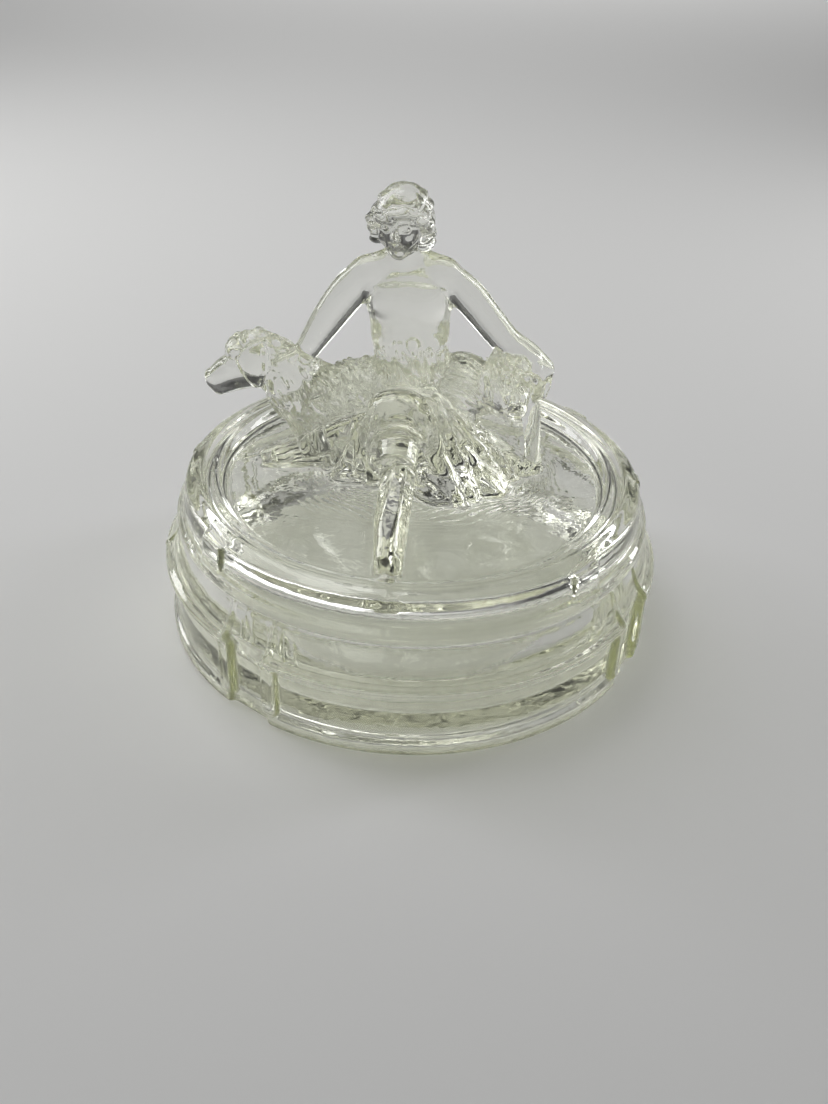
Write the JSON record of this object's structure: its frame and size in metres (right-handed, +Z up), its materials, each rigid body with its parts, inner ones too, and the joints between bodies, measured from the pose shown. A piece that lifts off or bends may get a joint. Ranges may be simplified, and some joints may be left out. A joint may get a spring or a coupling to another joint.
{
  "type": "covered glass candy dish",
  "caption": "Round pressed-glass candy dish with a lift-off lid whose top carries a seated lady between two resting dogs.",
  "frame": {"origin": "centre of the dish's underside, on the table", "axes": "+Z up along the axis the dish is turned round; the lady faces -Y; +X is to the right seen from the front"},
  "size_m": [0.1482, 0.148, 0.1265],
  "materials": {
    "dish_glass": "clear pressed glass with a faint straw tint, fire-polished gloss",
    "lid_glass": "clear pressed glass with a faint straw tint, fire-polished gloss, fine pressed texture on hair, skirt and fur"
  },
  "bodies": {
    "dish": {"base_dish": "dish_glass"},
    "cover": {"lid": "lid_glass"}
  },
  "joints": [
    {"name": "lid_lift", "type": "slide", "parent": "dish", "child": "cover", "axis": [0, 0, 1], "range_m": [0, 0.1]}
  ]
}
